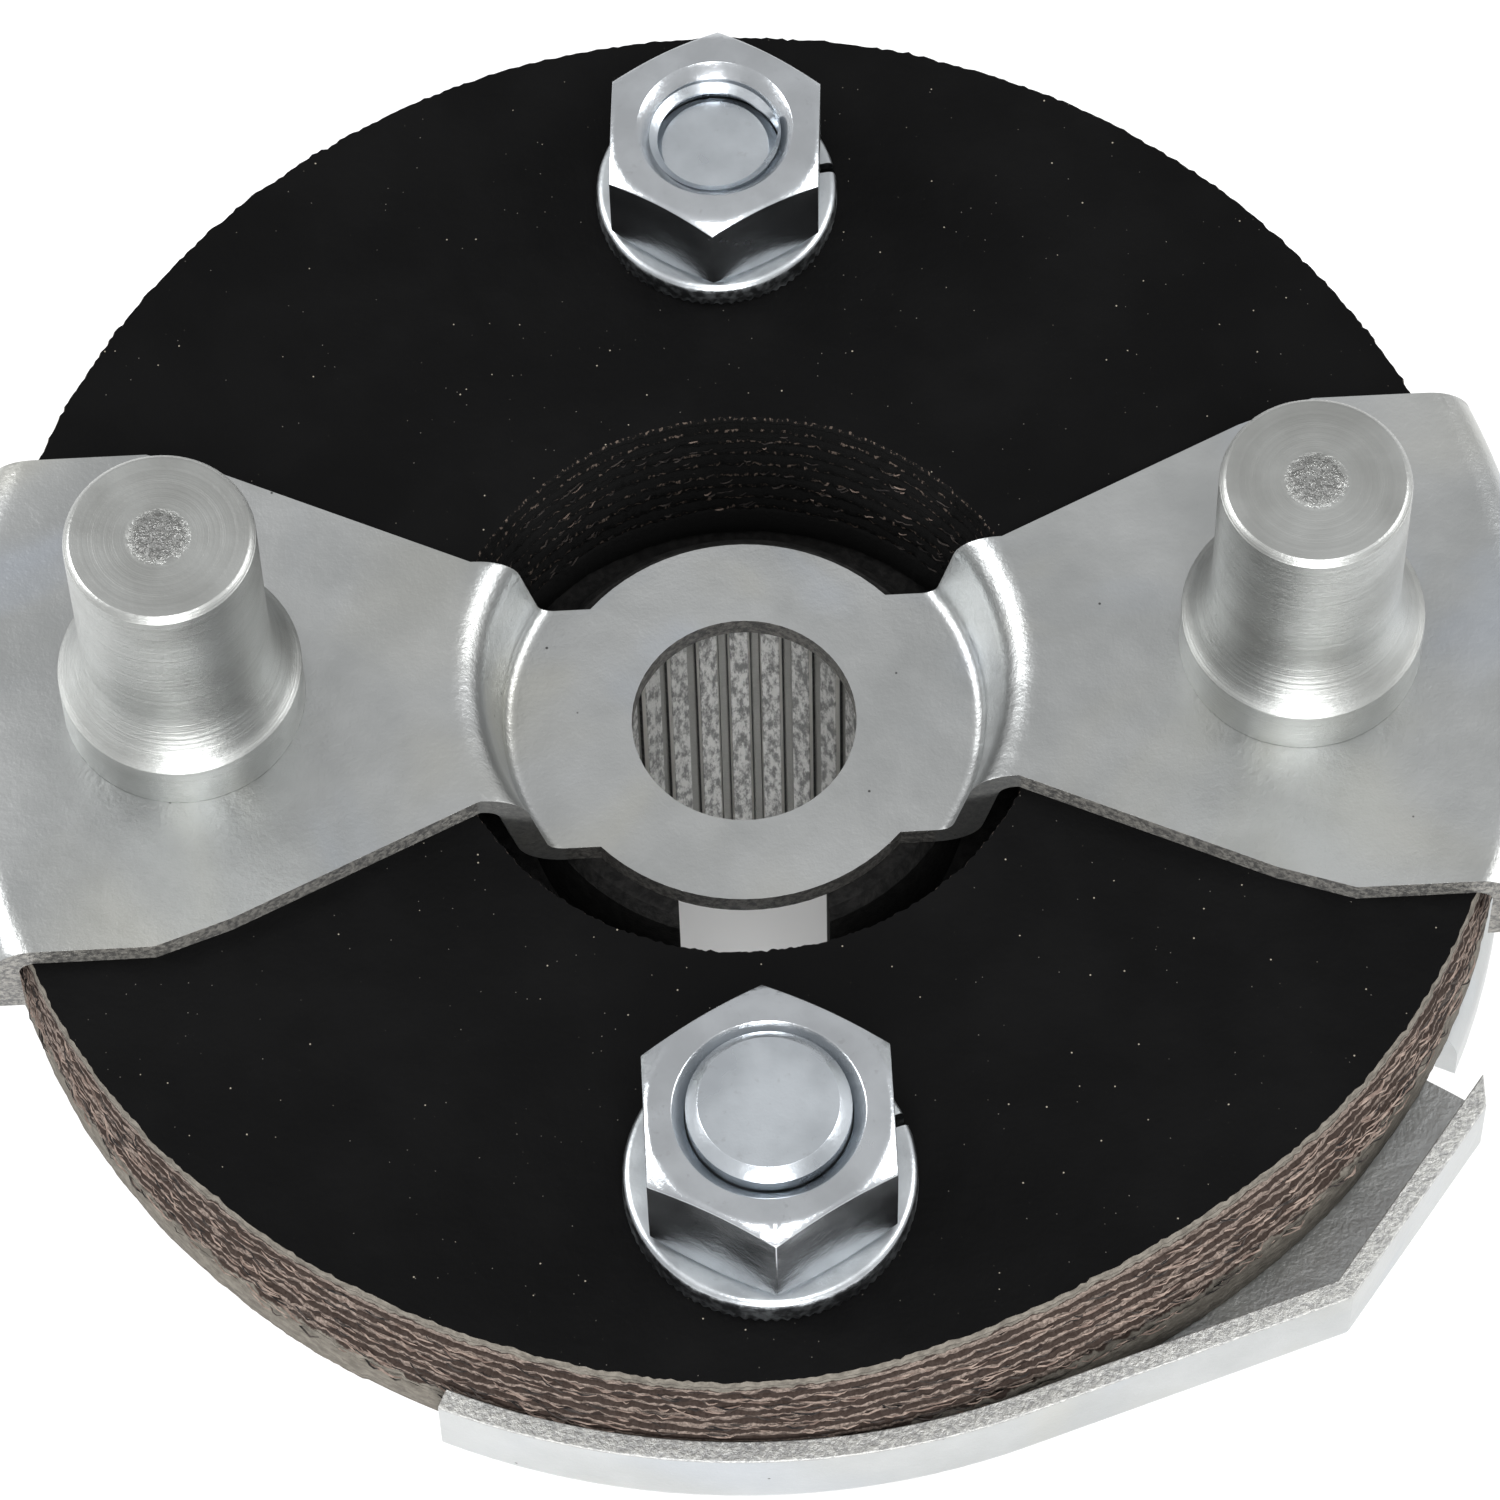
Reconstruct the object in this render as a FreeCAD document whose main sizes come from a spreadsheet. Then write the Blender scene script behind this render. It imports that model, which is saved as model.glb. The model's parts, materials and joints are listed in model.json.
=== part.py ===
import FreeCAD, Part
import os
import Sketcher

# Flexible disc coupling of a steering shaft.  Z is the shaft axis, with Z = 0 at the lower end
# of the splined hub.  The two stop pins stand on the X axis and the two flange bolts on the Y axis.
SIZES = {
    # laminated disc
    "disc_radius": 45.4,
    "disc_hole_radius": 18.0,
    "top_cover": 1.6,
    "ply_gauge": 1.2,
    "bottom_cover": 2.5,
    "fastener_circle_radius": 33.35,
    # stamped pin plate
    "pin_plate_gauge": 1.5,
    "pin_plate_hole_radius": 6.8,
    "dish_drop": 5.2,
    "dish_floor_radius": 14.5,
    "dish_rim_radius": 15.8,
    "dish_bend_radius": 0.9,
    "hub_cap_radius": 12.1,
    "neck_half_width": 8.1,
    "neck_end": 16.0,
    "wing_corner": 30.8,
    "wing_corner_half_width": 15.0,
    "wing_end": 35.4,
    "wing_half_width": 16.6,
    "lip_inner_radius": 46.6,
    "lip_bend_radius": 2.6,
    "lip_depth": 5.5,
    # stop pins
    "pin_radius": 5.6,
    "pin_height": 21.0,
    "pin_chamfer": 0.35,
    "pin_nub_radius": 1.6,
    "pin_nub_height": 0.2,
    "pin_flare_start": 9.4,
    "pin_collar_top": 5.4,
    "pin_collar_radius": 7.25,
    "pin_flare_radius": 7.0,
    "pin_flare_bend": 8.0,
    "pin_tenon_radius": 4.5,
    "rivet_head_radius": 7.0,
    "rivet_head_height": 2.8,
    # large bolt, 3/8 inch
    "large_bolt_radius": 4.7625,
    "large_bolt_end": 11.75,
    "large_nut_flats": 14.29,
    "large_nut_height": 8.33,
    "large_head_height": 5.95,
    "large_washer_radius": 8.6,
    "large_washer_gauge": 2.4,
    # small bolt, 5/16 inch
    "small_bolt_radius": 3.96875,
    "small_bolt_end": 6.6,
    "small_nut_flats": 12.7,
    "small_nut_height": 6.75,
    "small_head_height": 5.35,
    "small_washer_radius": 7.45,
    "small_washer_gauge": 2.0,
    # shared fastener details
    "thread_clearance": 0.05,
    "hole_clearance": 0.08,
    "washer_clearance": 0.3,
    "washer_slit": 1.0,
    "bolt_end_chamfer": 0.7,
    "nut_countersink": 0.75,
    "hex_chamfer_share": 0.95,
    "hex_chamfer_angle": 28.0,
    "backing_washer_radius": 9.3,
    "backing_washer_gauge": 1.5,
    # rimmed lower plate
    "lower_plate_gauge": 1.3,
    "lower_plate_radius": 44.3,
    "lower_plate_hole_radius": 19.0,
    "bolt_window_radius": 10.9,
    "rim_inner_radius": 46.0,
    "rim_height": 6.1,
    "rim_bend_radius": 1.2,
    "rim_start_angle": 245.0,
    "rim_straight_angle": 288.0,
    "rim_corner_angle": 323.0,
    "rim_corner_reach": 50.3,
    "rim_end_x": 42.7,
    "notch_x": 41.0,
    "notch_y": 23.6,
    "hem_radius": 46.6,
    "hem_bend_radius": 3.0,
    "hem_depth": 5.2,
    "hem_angle": 51.0,
    # splined clamp hub
    "hub_length": 35.3,
    "hub_radius": 13.6,
    "bore_radius": 9.2,
    "spline_depth": 0.65,
    "spline_count": 30.0,
    "spline_foot_half_width": 0.55,
    "spline_root_half_width": 0.2,
    "bore_chamfer": 1.0,
    "flange_gauge": 3.0,
    "flange_centre_radius": 22.0,
    "flange_ear_radius": 10.5,
    "slot_width": 9.0,
    "lug_width": 27.0,
    "lug_radius": 8.0,
    "lug_reach": 19.5,
    "lug_height": 12.5,
    # pinch bolt, 3/8 inch
    "pinch_hole_radius": 4.85,
    "pinch_bolt_end": 16.5,
}

TOLERANCE = 1e-4
HEX_CUTTER_SHARE = 0.7
CUTTER_OVERRUN = 0.5
CUTTER_REACH = 1.2

doc = FreeCAD.newDocument("steering_shaft_coupling")
sheet = doc.addObject("Spreadsheet::Sheet", "dims")
for row, (alias, size) in enumerate(SIZES.items(), start=1):
    sheet.set(f"A{row}", alias)
    sheet.set(f"B{row}", str(size))
    sheet.setAlias(f"B{row}", alias)
doc.recompute()

# Heights in the shaft's direction, worked out from the sheet.
PLY_COUNT = 7
DISC_TOP = "(dims.hub_length + dims.pin_plate_gauge + dims.dish_drop)"
DISC_THICKNESS = f"(dims.top_cover + {PLY_COUNT} * dims.ply_gauge + dims.bottom_cover)"
DISC_BOTTOM = f"({DISC_TOP} - {DISC_THICKNESS})"
FLANGE_TOP = f"({DISC_BOTTOM} - dims.lower_plate_gauge)"
FLANGE_BOTTOM = f"({FLANGE_TOP} - dims.flange_gauge)"

# Holes that the pins' tails pass through.
PIN_HOLE = "(dims.pin_tenon_radius + dims.hole_clearance)"


def number(expression):
    """The value of an expression over the sheet, in millimetres or degrees."""
    value = sheet.evalExpression(expression)
    return float(getattr(value, "Value", value))


def make_body(label, height="0", along_x="0", along_y="0"):
    body = doc.addObject("PartDesign::Body", label)
    body.Label = label
    body.setExpression("Placement.Base.x", along_x)
    body.setExpression("Placement.Base.y", along_y)
    body.setExpression("Placement.Base.z", height)
    return body


def make_sketch(body, name, role="XY_Plane"):
    sketch = body.newObject("Sketcher::SketchObject", f"{body.Label}_{name}")
    plane = next(item for item in body.Origin.OriginFeatures if item.Role == role)
    sketch.AttachmentSupport = [(plane, "")]
    sketch.MapMode = "FlatFace"
    return sketch


def bind(sketch, constraint, expression):
    """Adds a constraint and ties it to the sheet."""
    index = sketch.addConstraint(constraint)
    sketch.setExpression(f"Constraints[{index}]", expression)


def add_circle(sketch, radius, x="0", y="0"):
    middle = FreeCAD.Vector(number(x), number(y), 0)
    circle = sketch.addGeometry(Part.Circle(middle, FreeCAD.Vector(0, 0, 1), number(radius)))
    bind(sketch, Sketcher.Constraint("Radius", circle, number(radius)), radius)
    bind(sketch, Sketcher.Constraint("DistanceX", circle, 3, middle.x), x)
    bind(sketch, Sketcher.Constraint("DistanceY", circle, 3, middle.y), y)


def add_outline(sketch, corners, arcs=None):
    """Closed outline.  arcs gives, for the side that starts at a corner, its radius and a point on it."""
    arcs = arcs or {}
    spots = [FreeCAD.Vector(number(x), number(y), 0) for x, y in corners]
    sides = []
    for index, spot in enumerate(spots):
        after = spots[(index + 1) % len(spots)]
        if index in arcs:
            radius, via_x, via_y = arcs[index]
            via = FreeCAD.Vector(number(via_x), number(via_y), 0)
            curve = Part.Arc(spot, via, after)
        else:
            curve = Part.LineSegment(spot, after)
        sides.append(sketch.addGeometry(curve))
    # an arc is stored counter-clockwise, so its first point can be either corner
    starts = []
    for side, spot in zip(sides, spots):
        first = sketch.getPoint(side, 1)
        starts.append(1 if first.distanceToPoint(spot) < TOLERANCE else 2)
    for index, side in enumerate(sides):
        following = (index + 1) % len(sides)
        ends = (side, 3 - starts[index], sides[following], starts[following])
        sketch.addConstraint(Sketcher.Constraint("Coincident", *ends))
        x, y = corners[index]
        bind(sketch, Sketcher.Constraint("DistanceX", side, starts[index], spots[index].x), x)
        bind(sketch, Sketcher.Constraint("DistanceY", side, starts[index], spots[index].y), y)
        if index in arcs:
            radius = arcs[index][0]
            bind(sketch, Sketcher.Constraint("Radius", side, number(radius)), radius)


def finish_feature(body, feature, grows):
    """Recomputes and stops if the feature changed nothing, which a wrong direction would cause."""
    before = feature.BaseFeature.Shape.Volume if feature.BaseFeature else 0.0
    doc.recompute()
    change = feature.Shape.Volume - before
    if (change > 0) != grows or abs(change) < TOLERANCE:
        raise RuntimeError(f"{feature.Label} changed the volume by {change:.4f}")
    body.Tip = feature
    return feature


def pad(body, sketch, length, symmetric=False):
    feature = body.newObject("PartDesign::Pad", f"{sketch.Label}_pad")
    feature.Profile = sketch
    feature.SideType = "Symmetric" if symmetric else "One side"
    feature.setExpression("Length", length)
    return finish_feature(body, feature, grows=True)


def pocket_through(body, sketch):
    feature = body.newObject("PartDesign::Pocket", f"{sketch.Label}_pocket")
    feature.Profile = sketch
    feature.SideType = "Symmetric"
    feature.Type = "ThroughAll"
    return finish_feature(body, feature, grows=False)


def pocket(body, sketch, length, upwards):
    feature = body.newObject("PartDesign::Pocket", f"{sketch.Label}_pocket")
    feature.Profile = sketch
    feature.Reversed = upwards
    feature.setExpression("Length", length)
    return finish_feature(body, feature, grows=False)


def turn(body, sketch, angle="360", symmetric=False):
    feature = body.newObject("PartDesign::Revolution", f"{sketch.Label}_revolution")
    feature.Profile = sketch
    feature.ReferenceAxis = (sketch, ["V_Axis"])
    feature.Midplane = symmetric
    feature.setExpression("Angle", angle)
    return finish_feature(body, feature, grows=True)


def groove(body, sketch, axis="V_Axis"):
    feature = body.newObject("PartDesign::Groove", f"{sketch.Label}_groove")
    feature.Profile = sketch
    feature.ReferenceAxis = (sketch, [axis])
    feature.Angle = 360
    return finish_feature(body, feature, grows=False)


def fillet(body, names, radius):
    rounded = body.Tip
    feature = body.newObject("PartDesign::Fillet", f"{body.Label}_fillet_{len(body.Group)}")
    feature.Base = (rounded, names)
    feature.setExpression("Radius", radius)
    doc.recompute()
    body.Tip = feature
    return feature


def fastener_spot(direction):
    """Place of a bolt on the Y axis: direction is 1 for the small bolt and -1 for the large one."""
    return f"{direction} * dims.fastener_circle_radius"


# ---- laminated disc -------------------------------------------------------------------------


def make_disc_layer(label, top, gauge):
    """One ring of the disc, with holes for the rivets of the pins and for the bolts."""
    body = make_body(label, height=f"{top} - {gauge}")
    sketch = make_sketch(body, "outline")
    add_circle(sketch, "dims.disc_radius")
    add_circle(sketch, "dims.disc_hole_radius")
    for side in (-1, 1):
        add_circle(sketch, PIN_HOLE, x=f"{side} * dims.fastener_circle_radius")
    add_circle(sketch, "dims.large_bolt_radius + dims.hole_clearance", y=fastener_spot(-1))
    add_circle(sketch, "dims.small_bolt_radius + dims.hole_clearance", y=fastener_spot(1))
    pad(body, sketch, gauge)
    return body


def make_disc():
    layers = [make_disc_layer("top_cover_rubber", DISC_TOP, "dims.top_cover")]
    for ply in range(PLY_COUNT):
        ply_top = f"({DISC_TOP} - dims.top_cover - {ply} * dims.ply_gauge)"
        layers.append(make_disc_layer(f"fabric_ply_{ply + 1}", ply_top, "dims.ply_gauge"))
    cover_top = f"({DISC_BOTTOM} + dims.bottom_cover)"
    layers.append(make_disc_layer("bottom_cover_rubber", cover_top, "dims.bottom_cover"))
    return layers


# ---- pin plate ------------------------------------------------------------------------------


def dish_bend(x, level, radius, wall_angle, climb):
    """Rounded corner of the dish's section: its two ends, in order from the axis, and its middle.

    climb is 1 where the wall starts to rise from the floor and -1 where it levels out at the rim."""
    setback = f"({radius} * tan({wall_angle} / 2))"
    along_x = f"{setback} * cos({wall_angle})"
    along_z = f"{setback} * sin({wall_angle})"
    if climb > 0:
        ends = [(f"{x} - {setback}", level), (f"{x} + {along_x}", f"{level} + {along_z}")]
    else:
        ends = [(f"{x} - {along_x}", f"{level} - {along_z}"), (f"{x} + {setback}", level)]
    middle_x = f"{x} - {climb} * ({setback} - {radius} * sin({wall_angle} / 2))"
    middle_z = f"{level} + {climb} * ({radius} - {radius} * cos({wall_angle} / 2))"
    return ends, (middle_x, middle_z)


def quarter_bend(radius, x, level):
    """Arc of a section that turns from level to straight down: its radius and its middle."""
    return radius, f"{x} + {radius} * sin(45)", f"{level} + {radius} * cos(45)"


def make_pin_plate():
    """Dished bow-tie stamping.  Its own Z = 0 is the top of the disc, under the wings."""
    body = make_body("pin_plate", height=DISC_TOP)
    gauge = "dims.pin_plate_gauge"
    wall_angle = f"atan((dims.dish_drop + {gauge}) / (dims.dish_rim_radius - dims.dish_floor_radius))"
    corner_shift = f"({gauge} * tan({wall_angle} / 2))"
    floor_top = "-dims.dish_drop"
    floor_bottom = f"-dims.dish_drop - {gauge}"
    under_floor = f"dims.dish_floor_radius + {corner_shift}"
    under_rim = f"dims.dish_rim_radius + {corner_shift}"
    lip_outer = f"(dims.lip_inner_radius + {gauge})"
    bend_start = f"({lip_outer} - dims.lip_bend_radius)"
    inner_bend = f"(dims.lip_bend_radius - {gauge})"
    bend_height = f"({gauge} - dims.lip_bend_radius)"

    tight = "dims.dish_bend_radius"
    wide = f"(dims.dish_bend_radius + {gauge})"
    under_floor_bend, under_floor_via = dish_bend(under_floor, floor_bottom, wide, wall_angle, 1)
    under_rim_bend, under_rim_via = dish_bend(under_rim, "0", tight, wall_angle, -1)
    rim_bend, rim_via = dish_bend("dims.dish_rim_radius", gauge, wide, wall_angle, -1)
    floor_bend, floor_via = dish_bend("dims.dish_floor_radius", floor_top, tight, wall_angle, 1)

    section = make_sketch(body, "section", "XZ_Plane")
    corners = [("dims.pin_plate_hole_radius", floor_bottom)]
    corners += under_floor_bend + under_rim_bend
    corners += [
        (bend_start, "0"),
        ("dims.lip_inner_radius", bend_height),
        ("dims.lip_inner_radius", "-dims.lip_depth"),
        (lip_outer, "-dims.lip_depth"),
        (lip_outer, bend_height),
        (bend_start, gauge),
    ]
    corners += rim_bend[::-1] + floor_bend[::-1]
    corners.append(("dims.pin_plate_hole_radius", floor_top))
    arcs = {
        1: (wide, *under_floor_via),
        3: (tight, *under_rim_via),
        5: quarter_bend(inner_bend, bend_start, bend_height),
        9: quarter_bend("dims.lip_bend_radius", bend_start, bend_height),
        11: (wide, *rim_via),
        13: (tight, *floor_via),
    }
    add_outline(section, corners, arcs)
    turn(body, section)

    # the sheet outside the bow-tie outline is cut away
    cap_reach = "sqrt(dims.hub_cap_radius^2 - dims.neck_half_width^2)"
    outside = f"dims.lip_inner_radius * {CUTTER_REACH}"
    quarter = [
        (cap_reach, "dims.neck_half_width"),
        ("dims.neck_end", "dims.neck_half_width"),
        ("dims.wing_corner", "dims.wing_corner_half_width"),
        ("dims.wing_end", "dims.wing_half_width"),
        (outside, "dims.wing_half_width"),
    ]
    right_bottom = [(x, f"-({y})") for x, y in reversed(quarter)]
    left_bottom = [(f"-({x})", f"-({y})") for x, y in quarter]
    left_top = [(f"-({x})", y) for x, y in reversed(quarter)]
    keep = make_sketch(body, "outline")
    add_outline(
        keep,
        right_bottom + left_bottom + left_top + quarter,
        {
            len(quarter) - 1: ("dims.hub_cap_radius", "0", "-dims.hub_cap_radius"),
            3 * len(quarter) - 1: ("dims.hub_cap_radius", "0", "dims.hub_cap_radius"),
        },
    )
    border = f"dims.lip_inner_radius * {CUTTER_REACH} * {CUTTER_REACH}"
    add_outline(
        keep,
        [(border, border), (f"-{border}", border), (f"-{border}", f"-{border}"), (border, f"-{border}")],
    )
    pocket_through(body, keep)

    holes = make_sketch(body, "pin_holes")
    for side in (-1, 1):
        add_circle(holes, PIN_HOLE, x=f"{side} * dims.fastener_circle_radius")
    pocket_through(body, holes)
    return body


# ---- stop pins ------------------------------------------------------------------------------


def make_stop_pin(label, side):
    """Turned pin with a collar on the pin plate and a riveted tail.  Its Z = 0 is the disc's top."""
    body = make_body(label, height=DISC_TOP, along_x=f"{side} * dims.fastener_circle_radius")
    tail = f"({FLANGE_BOTTOM} - {DISC_TOP})"
    head_bottom = f"({tail} - dims.rivet_head_height)"
    head_shoulder = "(dims.rivet_head_radius * 0.6)"
    nub_top = "(dims.pin_height + dims.pin_nub_height)"
    section = make_sketch(body, "section", "XZ_Plane")
    corners = [
        ("0", head_bottom),
        (head_shoulder, head_bottom),
        ("dims.rivet_head_radius", f"{tail} - dims.rivet_head_height * 0.35"),
        ("dims.rivet_head_radius", tail),
        ("dims.pin_tenon_radius", tail),
        ("dims.pin_tenon_radius", "dims.pin_plate_gauge"),
        ("dims.pin_collar_radius", "dims.pin_plate_gauge"),
        ("dims.pin_collar_radius", "dims.pin_collar_top - 0.2"),
        ("dims.pin_flare_radius", "dims.pin_collar_top"),
        ("dims.pin_radius", "dims.pin_flare_start"),
        ("dims.pin_radius", "dims.pin_height - dims.pin_chamfer"),
        ("dims.pin_radius - dims.pin_chamfer", "dims.pin_height"),
        ("dims.pin_nub_radius", "dims.pin_height"),
        ("dims.pin_nub_radius * 0.7", nub_top),
        ("0", nub_top),
    ]
    flare = (
        "dims.pin_flare_bend",
        "(dims.pin_flare_radius + dims.pin_radius) / 2 - 0.25",
        "(dims.pin_collar_top + dims.pin_flare_start) / 2 - 0.1",
    )
    add_outline(section, corners, {8: flare})
    turn(body, section)
    return body


# ---- hexagons, bolts, nuts and washers ------------------------------------------------------


def add_hexagon(sketch, flats, turned):
    """Hexagon across flats, with a corner on the Y axis, turned by some degrees."""
    corner = f"({flats} / sqrt(3))"
    corners = []
    for step in range(6):
        angle = f"({90 + 60 * step} + {turned})"
        corners.append((f"{corner} * cos({angle})", f"{corner} * sin({angle})"))
    add_outline(sketch, corners)


def chamfer_hexagon(body, flats, ends):
    """Turns the corners of a hexagon down to a cone at each end: its name, its level and the way in."""
    flat_radius = f"({flats} / 2 * dims.hex_chamfer_share)"
    outside = f"({flats} * {HEX_CUTTER_SHARE})"
    drop = f"(({outside} - {flat_radius}) * tan(dims.hex_chamfer_angle))"
    for name, level, inward in ends:
        section = make_sketch(body, f"{name}_chamfer", "XZ_Plane")
        past = f"{level} - {inward} * {CUTTER_OVERRUN}"
        corners = [
            (flat_radius, level),
            (outside, f"{level} + {inward} * {drop}"),
            (outside, past),
            (flat_radius, past),
        ]
        add_outline(section, corners)
        groove(body, section)


def add_bolt_shape(body, radius, flats, head, seat, end, turned):
    """Chamfered shank up to its end and a hexagon head under its seat."""
    low = f"({seat} - {head})"
    shank = make_sketch(body, "shank", "XZ_Plane")
    corners = [
        ("0", f"{seat} - {head} / 2"),
        (radius, f"{seat} - {head} / 2"),
        (radius, f"{end} - dims.bolt_end_chamfer"),
        (f"{radius} - dims.bolt_end_chamfer", end),
        ("0", end),
    ]
    add_outline(shank, corners)
    turn(body, shank)
    hexagon = make_sketch(body, "head")
    add_hexagon(hexagon, flats, turned)
    hexagon.setExpression(".AttachmentOffset.Base.z", low)
    pad(body, hexagon, head)
    chamfer_hexagon(body, flats, [("head", low, "1")])


def add_split_ring(body, bolt_radius, outer, gauge):
    """Flat ring round a bolt with a slit on its own +X side."""
    inner = f"({bolt_radius} + dims.washer_clearance)"
    ring = make_sketch(body, "ring")
    add_circle(ring, outer)
    add_circle(ring, inner)
    pad(body, ring, gauge)
    slit = make_sketch(body, "slit")
    near = f"{inner} / 2"
    far = f"{outer} * {CUTTER_REACH}"
    half = "dims.washer_slit / 2"
    add_outline(slit, [(near, f"-{half}"), (far, f"-{half}"), (far, half), (near, half)])
    pocket_through(body, slit)


def make_nut(label, size, direction, turned):
    """Hexagon nut on its lock washer, countersunk at both ends.  Its Z = 0 is its lower face."""
    height = f"({DISC_TOP} + dims.{size}_washer_gauge)"
    body = make_body(label, height=height, along_y=fastener_spot(direction))
    flats = f"dims.{size}_nut_flats"
    tall = f"dims.{size}_nut_height"
    bore = f"(dims.{size}_bolt_radius + dims.thread_clearance)"
    outline = make_sketch(body, "hexagon")
    add_hexagon(outline, flats, turned)
    add_circle(outline, bore)
    pad(body, outline, tall)
    ends = [("top", tall, "-1"), ("bottom", "0", "1")]
    chamfer_hexagon(body, flats, ends)
    for name, level, inward in ends:
        section = make_sketch(body, f"{name}_countersink", "XZ_Plane")
        corners = [
            (bore, f"{level} + {inward} * dims.nut_countersink"),
            (f"{bore} + dims.nut_countersink", level),
            (bore, level),
        ]
        add_outline(section, corners)
        groove(body, section)
    return body


def make_bolt(label, size, direction, turned):
    """Hexagon bolt with its head under the disc.  Its Z = 0 is the top of the disc."""
    body = make_body(label, height=DISC_TOP, along_y=fastener_spot(direction))
    seat = f"(0 - {DISC_THICKNESS} - dims.backing_washer_gauge)"
    flats = f"dims.{size}_nut_flats"
    head = f"dims.{size}_head_height"
    add_bolt_shape(body, f"dims.{size}_bolt_radius", flats, head, seat, f"dims.{size}_bolt_end", turned)
    return body


def make_lock_washer(label, size, direction):
    """Split lock washer under a nut."""
    body = make_body(label, height=DISC_TOP, along_y=fastener_spot(direction))
    outer = f"dims.{size}_washer_radius"
    add_split_ring(body, f"dims.{size}_bolt_radius", outer, f"dims.{size}_washer_gauge")
    return body


def make_backing_washer(label, size, direction):
    """Plain washer between a bolt head and the bottom of the disc."""
    height = f"({DISC_BOTTOM} - dims.backing_washer_gauge)"
    body = make_body(label, height=height, along_y=fastener_spot(direction))
    ring = make_sketch(body, "ring")
    add_circle(ring, "dims.backing_washer_radius")
    add_circle(ring, f"dims.{size}_bolt_radius + dims.hole_clearance")
    pad(body, ring, "dims.backing_washer_gauge")
    return body


# ---- lower plate ----------------------------------------------------------------------------


def corner_of_lines(angle_a, reach_a, angle_b, reach_b):
    """Where two lines meet, each given by the angle of its normal and its distance from the axis."""
    across = f"sin({angle_b} - {angle_a})"
    x = f"(({reach_a}) * sin({angle_b}) - ({reach_b}) * sin({angle_a})) / {across}"
    y = f"(({reach_b}) * cos({angle_a}) - ({reach_a}) * cos({angle_b})) / {across}"
    return x, y


def on_circle(radius, angle):
    return f"({radius}) * cos({angle})", f"({radius}) * sin({angle})"


def rim_line(outwards):
    """One side of the rim, outwards from its inner face: its start, the end of its round part, its
    corner and its end, and then its radius and the middle of its round part."""
    straight = "dims.rim_straight_angle"
    corner = "dims.rim_corner_angle"
    radius = f"(dims.rim_inner_radius + {outwards})"
    reach = f"(dims.rim_corner_reach - dims.lower_plate_gauge + {outwards})"
    end_y = f"({reach} - dims.rim_end_x * cos({corner})) / sin({corner})"
    spots = [
        on_circle(radius, "dims.rim_start_angle"),
        on_circle(radius, straight),
        corner_of_lines(straight, radius, corner, reach),
        ("dims.rim_end_x", end_y),
    ]
    return spots, (radius, *on_circle(radius, f"((dims.rim_start_angle + {straight}) / 2)"))


def make_lower_plate_rim():
    """Upturned rim of the lower plate.  It follows the disc past the large bolt, runs out straight to
    a corner and ends at a notch before the pin.  Its Z = 0 is the lower face of the plate."""
    body = make_body("lower_plate_rim", height=FLANGE_TOP)
    outer, outer_arc = rim_line("dims.lower_plate_gauge")
    inner, inner_arc = rim_line("0")
    rim = make_sketch(body, "rim")
    corners = outer + inner[::-1]
    add_outline(rim, corners, {0: outer_arc, len(corners) - 2: inner_arc})
    pad(body, rim, "dims.rim_height")

    # the bend at the foot of the rim is rounded on its outside
    line = [FreeCAD.Vector(number(x), number(y), 0) for x, y in outer]
    foot = []
    for index, edge in enumerate(body.Tip.Shape.Edges, start=1):
        ends = [vertex.Point for vertex in edge.Vertexes]
        if all(any(point.distanceToPoint(spot) < TOLERANCE for spot in line) for point in ends):
            foot.append(f"Edge{index}")
    fillet(body, foot, "dims.rim_bend_radius")
    return body


def make_lower_plate():
    """Stamped plate under the disc, up to its rim.  Its Z = 0 is its lower face."""
    body = make_body("lower_plate", height=FLANGE_TOP)
    gauge = "dims.lower_plate_gauge"
    # flat of the plate: the round part under the disc and the part that the rim encloses
    flat = make_sketch(body, "flat")
    add_circle(flat, "dims.lower_plate_radius")
    pad(body, flat, gauge)
    within = f"dims.lower_plate_hole_radius * {CUTTER_REACH}"
    inner, inner_arc = rim_line("0")
    apron = make_sketch(body, "apron")
    corners = [on_circle(within, "dims.rim_start_angle")]
    corners += inner
    corners += [("dims.notch_x", "-dims.notch_y"), (within, "-dims.notch_y / 2")]
    add_outline(apron, corners, {1: inner_arc})
    pad(body, apron, gauge)

    # the hem by the right pin is bent down over a full sector
    hem_inner = f"(dims.hem_radius - {gauge})"
    bend_start = "(dims.hem_radius - dims.hem_bend_radius)"
    inner_bend = f"(dims.hem_bend_radius - {gauge})"
    bend_height = f"({gauge} - dims.hem_bend_radius)"
    hem = make_sketch(body, "hem", "XZ_Plane")
    corners = [
        ("dims.lower_plate_hole_radius * 1.5", "0"),
        (bend_start, "0"),
        (hem_inner, bend_height),
        (hem_inner, f"{gauge} - dims.hem_depth"),
        ("dims.hem_radius", f"{gauge} - dims.hem_depth"),
        ("dims.hem_radius", bend_height),
        (bend_start, gauge),
        ("dims.lower_plate_hole_radius * 1.5", gauge),
    ]
    arcs = {
        1: quarter_bend(inner_bend, bend_start, bend_height),
        5: quarter_bend("dims.hem_bend_radius", bend_start, bend_height),
    }
    add_outline(hem, corners, arcs)
    turn(body, hem, "dims.hem_angle", symmetric=True)

    holes = make_sketch(body, "holes")
    add_circle(holes, "dims.lower_plate_hole_radius")
    for side in (-1, 1):
        add_circle(holes, PIN_HOLE, x=f"{side} * dims.fastener_circle_radius")
        add_circle(holes, "dims.bolt_window_radius", y=fastener_spot(side))
    pocket_through(body, holes)
    return body


# ---- hub ------------------------------------------------------------------------------------


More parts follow.
